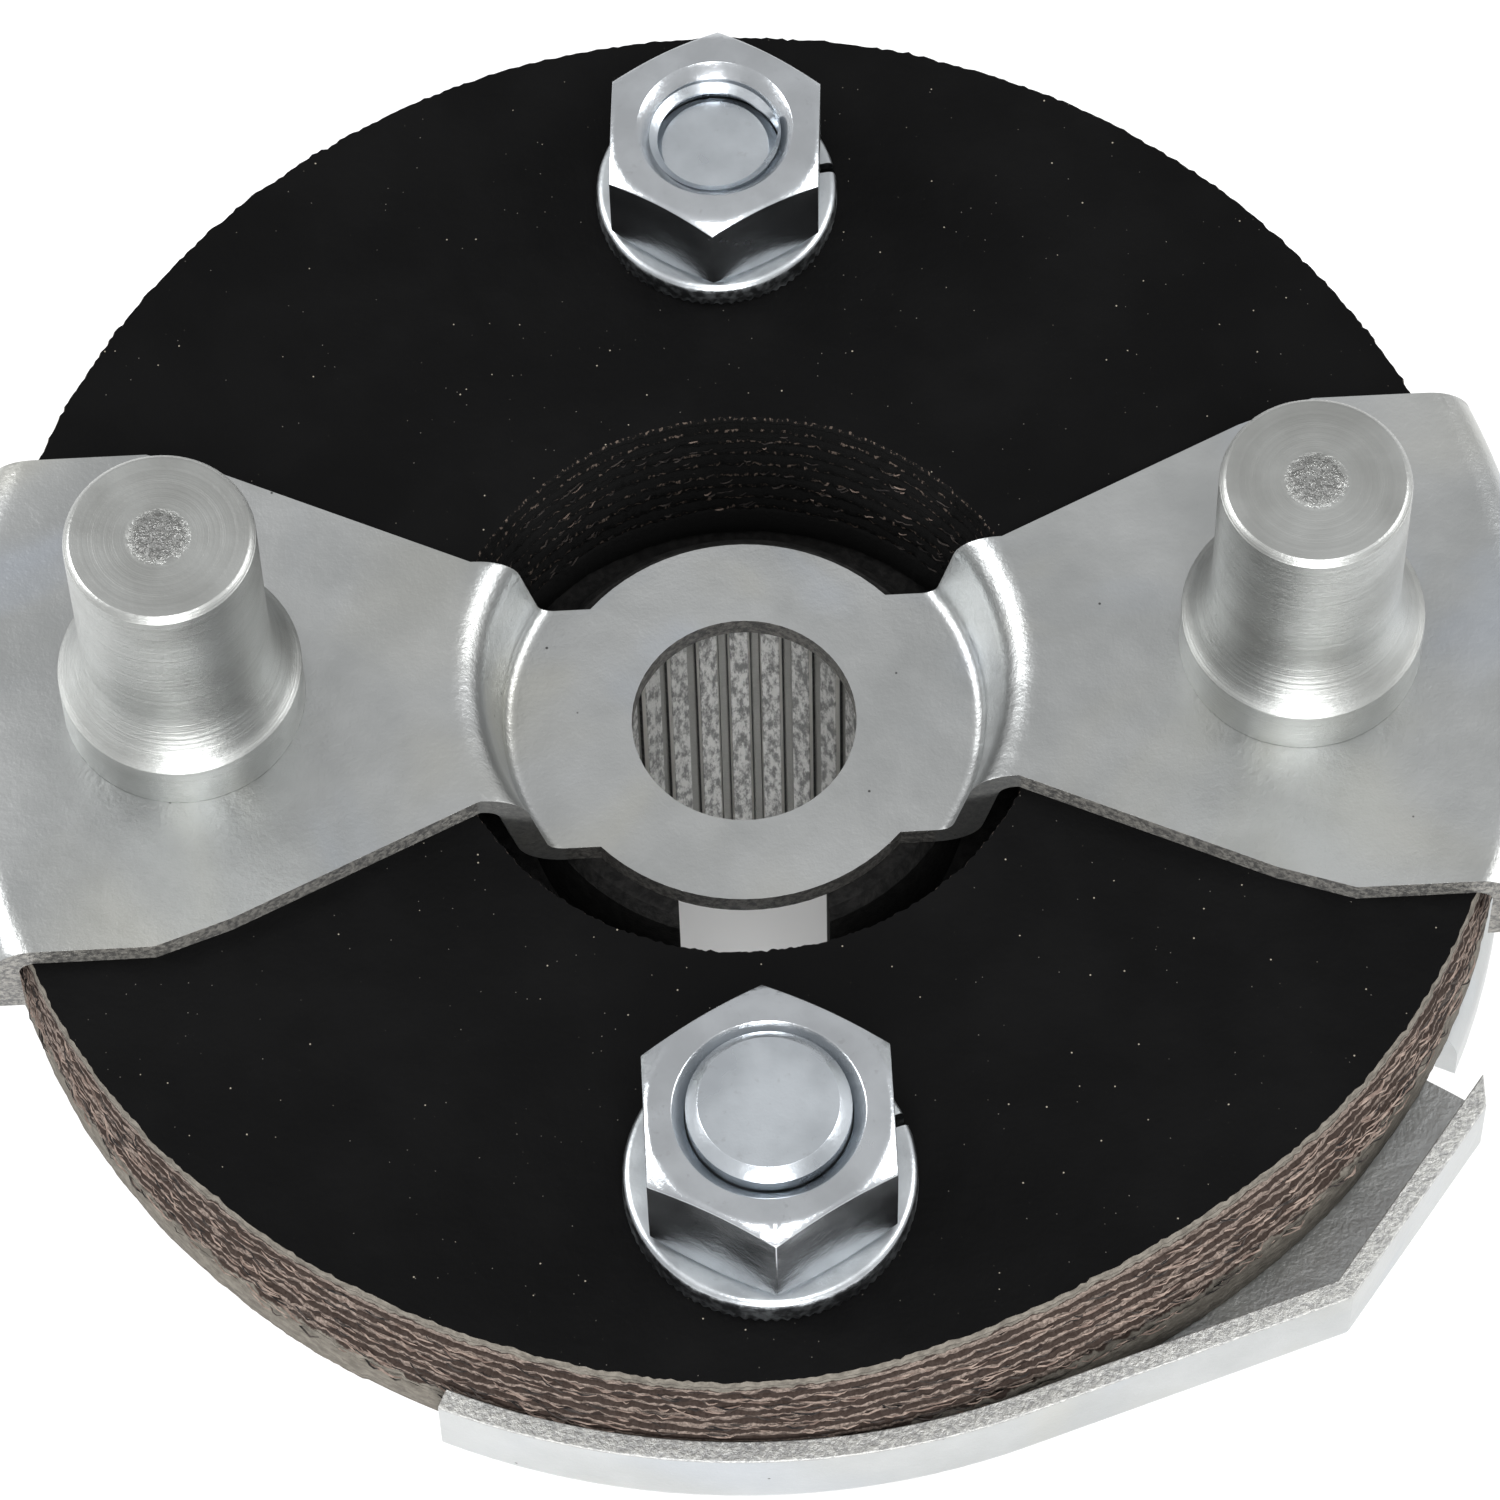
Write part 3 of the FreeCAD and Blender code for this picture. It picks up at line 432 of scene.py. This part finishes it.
MATERIALS = {
    "rubber_skin": rubber_skin(),
    "rubber_cut": rubber_cut(),
    "ply_edge": ply_edge(),
    "yarn_pale": yarn("yarn_pale", (0.25, 0.195, 0.165), (0.13, 0.095, 0.08)),
    "yarn_dark": yarn("yarn_dark", (0.05, 0.042, 0.038), (0.012, 0.011, 0.011)),
    "plate": zinc_sheet("zinc_plate", 1.0, wing_edges, (0.035, 0.032, 0.03), (0.21, 0.20, 0.18)),
    "lower": zinc_sheet("zinc_lower", 1.1, rim_edge, (0.26, 0.26, 0.255), (0.44, 0.44, 0.42)),
    "pin": turned_pin(),
    "nut": plated_steel("plated_nut", (0.42, 0.44, 0.46), (0.50, 0.525, 0.55), 0.2),
    "bolt": plated_steel("plated_bolt", (0.42, 0.45, 0.48), (0.52, 0.555, 0.59), 0.26),
    "washer": plated_steel("plated_washer", (0.38, 0.40, 0.42), (0.52, 0.55, 0.57), 0.3, 0.8),
    "hub": hub_steel(),
    "floor": floor_paint(),
}


# ---- mesh helpers ---------------------------------------------------------------------------


def new_piece(name, points, faces, materials, picks=None, smooth=True):
    """A mesh object from points in millimetres.  picks gives each face's place in materials."""
    mesh = bpy.data.meshes.new(name)
    mesh.from_pydata([Vector(p) * MM for p in points], [], faces)
    for material in materials:
        mesh.materials.append(MATERIALS[material])
    if picks:
        mesh.polygons.foreach_set("material_index", picks)
    mesh.polygons.foreach_set("use_smooth", [smooth] * len(mesh.polygons))
    mesh.update()
    piece = bpy.data.objects.new(name, mesh)
    bpy.context.scene.collection.objects.link(piece)
    return piece


def sweep(sections):
    """Points and faces of a closed skin over a row of equal loops of points, capped at both ends."""
    size = len(sections[0])
    points = [p for section in sections for p in section]
    last = (len(sections) - 1) * size
    faces = []
    for a in range(0, last, size):
        b = a + size
        for j in range(size):
            k = (j + 1) % size
            faces.append((a + j, a + k, b + k, b + j))
    faces.append(tuple(range(size))[::-1])
    faces.append(tuple(range(last, last + size)))
    return points, faces


def outward(piece, angle=35.0):
    """Turns all faces outward and keeps edges sharper than angle crisp."""
    work = bmesh.new()
    work.from_mesh(piece.data)
    bmesh.ops.recalc_face_normals(work, faces=work.faces)
    work.to_mesh(piece.data)
    work.free()
    piece.data.set_sharp_from_angle(angle=math.radians(angle))


def apply_modifiers(piece):
    """Replaces the mesh by what its modifiers make of it."""
    shown = piece.evaluated_get(bpy.context.evaluated_depsgraph_get())
    mesh = bpy.data.meshes.new_from_object(shown)
    piece.modifiers.clear()
    piece.data = mesh


# A CAD mesh is simplified below these, in millimetres and degrees, and bevelled at sharper edges.
MERGE_GAP = 0.0005
FLAT_ANGLE = 0.4
SHARP_ANGLE = 32
FLAT_FACE_WEIGHT = 90


def refined(node, material, bevel):
    """Copy of a CAD node's mesh with its sharp edges broken, which then stands for the node."""
    mesh = NODES[node].data.copy()
    mesh.name = f"{node}_finish"
    piece = bpy.data.objects.new(f"{node}_finish", mesh)
    bpy.context.scene.collection.objects.link(piece)
    work = bmesh.new()
    work.from_mesh(mesh)
    bmesh.ops.remove_doubles(work, verts=work.verts, dist=MERGE_GAP * MM)
    flat = math.radians(FLAT_ANGLE)
    bmesh.ops.dissolve_limit(work, angle_limit=flat, verts=work.verts, edges=work.edges, delimit={"NORMAL"})
    work.to_mesh(mesh)
    work.free()
    if "custom_normal" in mesh.attributes:
        mesh.attributes.remove(mesh.attributes["custom_normal"])
    mesh.materials.clear()
    mesh.materials.append(MATERIALS[material])
    mesh.polygons.foreach_set("use_smooth", [True] * len(mesh.polygons))
    step = piece.modifiers.new("broken_edges", "BEVEL")
    step.width = bevel * MM
    step.segments = 2
    step.limit_method = "ANGLE"
    step.angle_limit = math.radians(SHARP_ANGLE)
    even = piece.modifiers.new("even_shading", "WEIGHTED_NORMAL")
    even.weight = FLAT_FACE_WEIGHT
    apply_modifiers(piece)
    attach(piece, BODY_OF[node])
    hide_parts(node)
    return piece


def finish_node(node, material):
    """Gives a CAD node's own mesh its material."""
    mesh = NODES[node].data
    mesh.materials.clear()
    mesh.materials.append(MATERIALS[material])


# ---- laminated disc -------------------------------------------------------------------------

# Steps of a half turn, and how far the wall leans out and the hole's wall leans in at the bottom.
TURN_STEPS = 430
CLOTH_FLARE = 0.5
HOLE_FLARE = 1.1

# Room for the lower plate's rim and the pin plate's lips: heights, bearings and the largest radius.
RIM_HEIGHT, RIM_FROM, RIM_TO, RIM_LIMIT = 34.6, 238, 322, 45.85
LIP_HEIGHT, LIP_SINE, LIP_LIMIT = 36.0, 0.47, 46.4

# Holes of the rivets and bolts: x, y and radius.
FASTENER_HOLES = [
    (BOLT_CIRCLE, 0.0, 4.62),
    (-BOLT_CIRCLE, 0.0, 4.62),
    (0.0, -BOLT_CIRCLE, 4.88),
    (0.0, BOLT_CIRCLE, 4.1),
]
HOLE_SIDES = 48

# Loose yarn: points along a fibre, depth of its ends in the wall, how much more a fibre of the same
# length turns in the hole than outside, and the angle left free beside the seam of the two halves.
YARN_POINTS = 5
YARN_ROOT = -0.12
HOLE_TURN_RATIO = 2.4
SEAM_ROOM = 0.002

PLIES = range(1, 8)

# Dents and swellings of the hand-cut outline: bearing in degrees, width in degrees, millimetres.
OUTLINE_WAVES = [
    (-155, 18, 0.55),
    (-92, 9, 0.4),
    (-62, 14, -1.25),
    (-14, 12, 0.45),
    (38, 25, -0.3),
    (125, 30, 0.3),
]


def outline_wave(turn):
    """How far the outline swells out at a bearing."""
    total = 0.0
    for bearing, width, height in OUTLINE_WAVES:
        away = (math.degrees(turn) - bearing + 180) % 360 - 180
        total += height * math.exp(-0.5 * (away / width) ** 2)
    return total


def ragged(turn, radius, seed, coarse, fine):
    """Unevenness of a torn edge."""
    place = Vector((math.cos(turn), math.sin(turn), 0)) * radius
    wide = noise.noise(place * 0.35 + Vector((0, 0, seed)))
    middle = noise.noise(place * 1.1 + Vector((0, 0, seed + 31)))
    small = noise.noise(place * 3.1 + Vector((0, 0, seed + 57)))
    return coarse * (wide + 0.7 * middle) + fine * small


def outer_radius(turn, z, seed, coarse, fine):
    """Outer radius of the disc at a bearing and height, kept clear of the plates' rims."""
    share = (DISC_TOP - z) / (DISC_TOP - DISC_BOTTOM)
    radius = DISC_RADIUS + outline_wave(turn) * (1 - 0.5 * share) + CLOTH_FLARE * share
    radius += ragged(turn, radius, seed, coarse, fine)
    if RIM_FROM < math.degrees(turn) % 360 < RIM_TO and z < RIM_HEIGHT:
        radius = min(radius, RIM_LIMIT)
    if abs(math.sin(turn)) < LIP_SINE and z > LIP_HEIGHT:
        radius = min(radius, LIP_LIMIT)
    return radius


def inner_radius(turn, z, seed, coarse, fine):
    """Radius of the centre hole at a bearing and height."""
    share = (DISC_TOP - z) / (DISC_TOP - DISC_BOTTOM)
    return HOLE_RADIUS - HOLE_FLARE * share + ragged(turn, HOLE_RADIUS, seed + 90, coarse, fine)


def disc_half(name, node, front, edge, rings, coarse, fine, bulge, seed):
    """Front or rear half of a layer, with a rounded ragged edge outside and in the centre hole.

    Rings is the number of strips on the top face, coarse, fine and bulge are millimetres.
    """
    low, high = node_box(node)
    top, bottom = high.z, low.z
    gauge = top - bottom
    start = -math.pi if front else 0.0
    sections = []
    for i in range(TURN_STEPS + 1):
        turn = start + math.pi * i / TURN_STEPS
        across = Vector((math.cos(turn), math.sin(turn), 0))
        profile = []
        far = [outer_radius(turn, top - gauge * f, seed + f, coarse, fine) for f in (0.0, 0.5, 1.0)]
        near = [inner_radius(turn, top - gauge * f, seed + f, coarse, fine) for f in (0.0, 0.5, 1.0)]
        for j in range(rings + 1):
            reach = near[0] + bulge + (far[0] - near[0] - 2 * bulge) * j / rings
            lift = 0.0
            if top > DISC_TOP - 0.01 and 0 < j < rings:
                lift = -0.03 + 0.05 * noise.noise(across * reach * 0.45)
            profile.append((reach, top + min(lift, 0.0)))
        shoulder = min(0.22, gauge * 0.2)
        profile += [
            (far[0] - bulge * 0.25, top - shoulder),
            (far[1], top - gauge * 0.5),
            (far[2] - bulge * 0.25, bottom + shoulder),
            (far[2] - bulge, bottom),
            (near[2] + bulge, bottom),
            (near[2] + bulge * 0.25, bottom + shoulder),
            (near[1], top - gauge * 0.5),
            (near[0] + bulge * 0.25, top - shoulder),
        ]
        sections.append([(across.x * r, across.y * r, z) for r, z in profile])
    points, faces = sweep(sections)
    # skin above and below, cut edge on the outer wall and in the hole, skin on the end caps
    strips = [0] * rings + [1] * 4 + [0] + [1] * (len(sections[0]) - rings - 5)
    picks = strips * TURN_STEPS + [0, 0]
    piece = new_piece(name, points, faces, ["rubber_skin", edge], picks)
    outward(piece, 60.0)
    cut_fastener_holes(piece, top, bottom)
    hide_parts(node)
    blend_half(piece)


def cut_fastener_holes(piece, top, bottom):
    """Cuts the holes of the two rivets and two bolts."""
    sides = HOLE_SIDES
    points, faces = [], []
    for x, y, radius in FASTENER_HOLES:
        base = len(points)
        for z in (bottom - 1, top + 1):
            for k in range(sides):
                turn = math.tau * (k + 0.5) / sides
                points.append((x + radius * math.cos(turn), y + radius * math.sin(turn), z))
        for k in range(sides):
            m = (k + 1) % sides
            faces.append((base + k, base + m, base + sides + m, base + sides + k))
        faces.append(tuple(range(base, base + sides))[::-1])
        faces.append(tuple(range(base + sides, base + 2 * sides)))
    cutter = new_piece("hole_cutter", points, faces, ["rubber_cut"], smooth=False)
    step = piece.modifiers.new("holes", "BOOLEAN")
    step.operation = "DIFFERENCE"
    step.solver = "EXACT"
    step.object = cutter
    apply_modifiers(piece)
    bpy.data.objects.remove(cutter)


def blend_half(piece):
    """Bakes the piece's placement into its mesh."""
    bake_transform(piece)


def add_strand(points, faces, path, radius):
    """A thin three-sided fibre along a path, closed at both ends."""
    base = len(points)
    for i, spot in enumerate(path):
        ahead = path[min(i + 1, len(path) - 1)] - path[max(i - 1, 0)]
        side = ahead.cross(Vector((0.3, 0.2, 1.0))).normalized()
        up = side.cross(ahead).normalized()
        thin = radius * (0.35 if i in (0, len(path) - 1) else 1.0)
        for k in range(3):
            turn = math.tau * k / 3
            points.append(spot + (side * math.cos(turn) + up * math.sin(turn)) * thin)
    for i in range(len(path) - 1):
        a, b = base + 3 * i, base + 3 * i + 3
        for k in range(3):
            m = (k + 1) % 3
            faces.append((a + k, a + m, b + m, b + k))
    last = base + 3 * (len(path) - 1)
    faces.append((base + 2, base + 1, base))
    faces.append((last, last + 1, last + 2))


def frayed_yarn(name, front, material, radius_at, count, inward, lengths, lifts, seed):
    """Loose yarn ends of the plies, lying along the cut wall and standing a little off it."""
    draw = random.Random(seed)
    points, faces = [], []
    for ply in PLIES:
        low, high = node_box(f"fabric_ply_{ply}")
        for _ in range(count):
            turn = -draw.uniform(0.01, math.pi - 0.01) if front else draw.uniform(0.01, math.pi - 0.01)
            z = low.z + (high.z - low.z) * draw.uniform(0.22, 0.78)
            length = draw.uniform(*lengths)
            lift = draw.uniform(*lifts)
            slope = draw.uniform(-0.32, 0.32)
            path = []
            for i in range(YARN_POINTS):
                share = i / (YARN_POINTS - 1)
                at = turn + (share - 0.5) * length / WALL_RADIUS * (HOLE_TURN_RATIO if inward else 1)
                if front:
                    at = min(max(at, -math.pi + SEAM_ROOM), -SEAM_ROOM)
                else:
                    at = min(max(at, SEAM_ROOM), math.pi - SEAM_ROOM)
                stand = YARN_ROOT + (lift - YARN_ROOT) * math.sin(share * 2.2) ** 1.5
                reach = radius_at(at, z) + (-stand if inward else stand)
                height = z + slope * length * (share - 0.5) * 0.5
                path.append(Vector((math.cos(at) * reach, math.sin(at) * reach, height)))
            add_strand(points, faces, path, draw.uniform(0.03, 0.065))
    piece = new_piece(name, points, faces, [material])
    outward(piece, 80.0)
    blend_half(piece)


def yarn_wall(turn, z):
    """Radius at which loose yarn lies on the outer wall."""
    return outer_radius(turn, z, 50.0, 0.2, 0.1)


def yarn_hole(turn, z):
    """Radius at which loose yarn lies on the centre hole's wall."""
    return inner_radius(turn, z, 50.0, 0.2, 0.1)


def build_disc():
    """Both halves of the covers and plies, with their loose yarn."""
    for front in (True, False):
        half = "front" if front else "rear"
        disc_half(f"top_cover_{half}", "top_cover_rubber", front, "ply_edge", 34, 0.1, 0.13, 0.12, 3.0)
        for ply in PLIES:
            seed = 10.0 + 7.3 * ply
            disc_half(f"ply_{ply}_{half}", f"fabric_ply_{ply}", front, "ply_edge", 2, 0.16, 0.16, 0.34, seed)
        disc_half(
            f"bottom_cover_{half}", "bottom_cover_rubber", front, "rubber_cut", 3, 0.06, 0.05, 0.2, 91.0
        )
        number = 1 if front else 2
        for name, material, at, count, inward, lengths, lifts, seed in (
            ("yarn_ends", "yarn_pale", yarn_wall, 90, False, (0.6, 2.4), (0.0, 0.2), 11),
            ("yarn_dark", "yarn_dark", yarn_wall, 60, False, (0.6, 2.0), (0.0, 0.25), 23),
            ("hole_yarn", "yarn_dark", yarn_hole, 26, True, (0.4, 1.2), (0.0, 0.16), 37),
            ("hole_tufts", "yarn_pale", yarn_hole, 5, True, (0.3, 1.0), (0.0, 0.12), 41),
        ):
            frayed_yarn(f"{name}_{half}", front, material, at, count, inward, lengths, lifts, seed * number)


# ---- washers and threads --------------------------------------------------------------------


# Opening of a split washer, in degrees.
SPLIT_GAP = 5.5


def split_washer(node, bore, gap_bearing, teeth):
    """Split spring washer with a knurled lower edge. Bore in millimetres, bearing in degrees."""
    low, high = node_box(node)
    along_x = high.x - low.x < 0.5 * (high.y - low.y)
    centre = (low + high) / 2
    outer = (high.z - low.z) / 2 if along_x else (high.y - low.y) / 2
    gauge = (high.x - low.x) if along_x else (high.z - low.z)
    gap = math.radians(SPLIT_GAP)
    steps = 8 * teeth
    sections = []
    for i in range(steps + 1):
        share = i / steps
        turn = math.radians(gap_bearing) + gap / 2 + (math.tau - gap) * share
        bite = 0.5 + 0.5 * math.cos(math.tau * teeth * share)
        profile = [
            (bore, 0.25),
            (bore + 0.2, 0.02),
            (outer - 0.55, 0.02),
            (outer - 0.1 - 0.13 * bite, 0.12),
            (outer - 0.02 - 0.14 * bite, 0.5),
            (outer - 0.02, 0.8),
            (outer - 0.03, gauge - 0.55),
            (outer - 0.1, gauge - 0.25),
            (outer - 0.28, gauge - 0.06),
            (outer - 0.5, gauge),
            (bore + 0.35, gauge - 0.06),
            (bore + 0.05, gauge - 0.3),
        ]
        ring = []
        for reach, height in profile:
            across, beside = reach * math.cos(turn), reach * math.sin(turn)
            if along_x:
                ring.append((low.x + height, centre.y + across, centre.z + beside))
            else:
                ring.append((centre.x + across, centre.y + beside, low.z + height))
        sections.append(ring)
    points, faces = sweep(sections)
    piece = new_piece(f"{node}_coil", points, faces, ["washer"])
    outward(piece, 40.0)
    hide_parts(node)
    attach(piece, BODY_OF[node])


# Thread of the small nut: radius at the root, depth and pitch, and its margins to the bolt and the top.
THREAD_RADIUS, THREAD_DEPTH, THREAD_PITCH = 4.02, 0.5, 1.058
THREAD_START, THREAD_STOP = 0.3, 0.75


def nut_thread(body):
    """Helical thread crest in the part of the small nut above its bolt's end."""
    x, y, outer, pitch = 0.0, BOLT_CIRCLE, THREAD_RADIUS, THREAD_PITCH
    low = node_box("small_bolt")[1].z + THREAD_START
    high = node_box("small_nut")[1].z - THREAD_STOP
    turns = (high - low) / pitch
    steps = int(turns * 72)
    sections = []
    for i in range(steps + 1):
        share = i / steps
        turn = math.tau * turns * share
        fade = min(1.0, share * 9, (1 - share) * 9)
        inner = outer - THREAD_DEPTH * max(fade, 0.04)
        z = low + (high - low) * share
        loop = [
            (outer, z - pitch * 0.44),
            (inner, z - pitch * 0.08),
            (inner, z + pitch * 0.08),
            (outer, z + pitch * 0.44),
        ]
        ring = [(x + r * math.cos(turn), y + r * math.sin(turn), h) for r, h in loop]
        sections.append(ring)
    points, faces = sweep(sections)
    piece = new_piece("small_nut_thread", points, faces, ["bolt"])
    outward(piece, 30.0)
    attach(piece, body)


# ---- floor, light and camera ----------------------------------------------------------------


# Half the floor's width in millimetres, and its depth under the part in metres.
FLOOR_HALF = 3000.0
FLOOR_DROP = 0.00002


def build_floor():
    """Plain pale floor just under the part."""
    size = FLOOR_HALF
    corners = [(-size, -size, 0), (size, -size, 0), (size, size, 0), (-size, size, 0)]
    floor = new_piece("studio_floor", corners, [(0, 1, 2, 3)], ["floor"], smooth=False)
    floor.location.z = cad_low.z - FLOOR_DROP


def area_light(name, place, target, size, power, tall=None):
    """Soft light panel at place, facing target, size wide and as tall unless told otherwise."""
    data = bpy.data.lights.new(name, "AREA")
    data.energy = power
    data.size = size
    if tall:
        data.shape = "RECTANGLE"
        data.size_y = tall
    lamp = bpy.data.objects.new(name, data)
    lamp.location = place
    lamp.rotation_mode = "QUATERNION"
    lamp.rotation_quaternion = (Vector(target) - Vector(place)).to_track_quat("-Z", "Y")
    bpy.context.scene.collection.objects.link(lamp)


def build_light():
    """White surroundings with three high panels and a low one in front."""
    world = bpy.data.worlds.new("studio")
    bpy.context.scene.world = world
    world.use_nodes = True
    sky = world.node_tree.nodes["Background"]
    sky.inputs["Color"].default_value = (1.0, 1.0, 1.0, 1.0)
    sky.inputs["Strength"].default_value = 0.8
    bpy.context.scene.view_settings.view_transform = "Standard"
    middle = (0.0, 0.0, 0.04)
    area_light("key_light", (-0.62, 0.18, 0.55), middle, 0.4, 4.5)
    area_light("side_light", (0.62, 0.05, 0.50), middle, 0.35, 3.0)
    area_light("front_light", (0.02, -0.42, 0.80), middle, 0.25, 4.0)
    area_light("low_front_light", (0.0, -0.60, 0.20), (0.0, 0.0, 0.0), 0.2, 3.5, tall=0.1)


# The photo's view: lens in millimetres, place in metres, angles in degrees.
CAMERA_LENS = 193.06
CAMERA_PLACE = (-0.00517, -0.22551, 0.46742)
CAMERA_HEADING = 1.39
CAMERA_PITCH = 62.57
CAMERA_ROLL = -1.57


def build_camera():
    """Camera that looks down at the part from the photo's angle."""
    data = bpy.data.cameras.new("camera")
    data.lens = CAMERA_LENS
    data.sensor_width = 36.0
    data.clip_start = 0.01
    data.clip_end = 20.0
    camera = bpy.data.objects.new("camera", data)
    heading, pitch = math.radians(CAMERA_HEADING), math.radians(CAMERA_PITCH)
    flat = math.cos(pitch)
    ahead = Vector((math.sin(heading) * flat, math.cos(heading) * flat, -math.sin(pitch)))
    camera.location = CAMERA_PLACE
    camera.rotation_mode = "QUATERNION"
    level = ahead.to_track_quat("-Z", "Y")
    camera.rotation_quaternion = level @ Quaternion((0, 0, 1), math.radians(CAMERA_ROLL))
    bpy.context.scene.collection.objects.link(camera)
    bpy.context.scene.camera = camera


# ---- the whole ------------------------------------------------------------------------------

build_camera()
build_floor()
build_light()
build_disc()

finish_node("splined_hub", "hub")
finish_node("hub_flange", "hub")
for node, material, bevel in (
    ("pin_plate", "plate", 0.16),
    ("lower_plate", "lower", 0.12),
    ("lower_plate_rim", "lower", 0.12),
    ("left_stop_pin", "pin", 0.08),
    ("right_stop_pin", "pin", 0.08),
    ("large_nut", "nut", 0.14),
    ("small_nut", "nut", 0.12),
    ("large_bolt", "bolt", 0.14),
    ("small_bolt", "bolt", 0.12),
    ("pinch_bolt", "bolt", 0.14),
    ("large_backing_washer", "washer", 0.15),
    ("small_backing_washer", "washer", 0.15),
):
    refined(node, material, bevel)

split_washer("large_lock_washer", 5.0, 20.0, 84)
split_washer("small_lock_washer", 4.2, 8.0, 76)
split_washer("pinch_lock_washer", 5.0, 100.0, 84)
nut_thread("bolt_side")
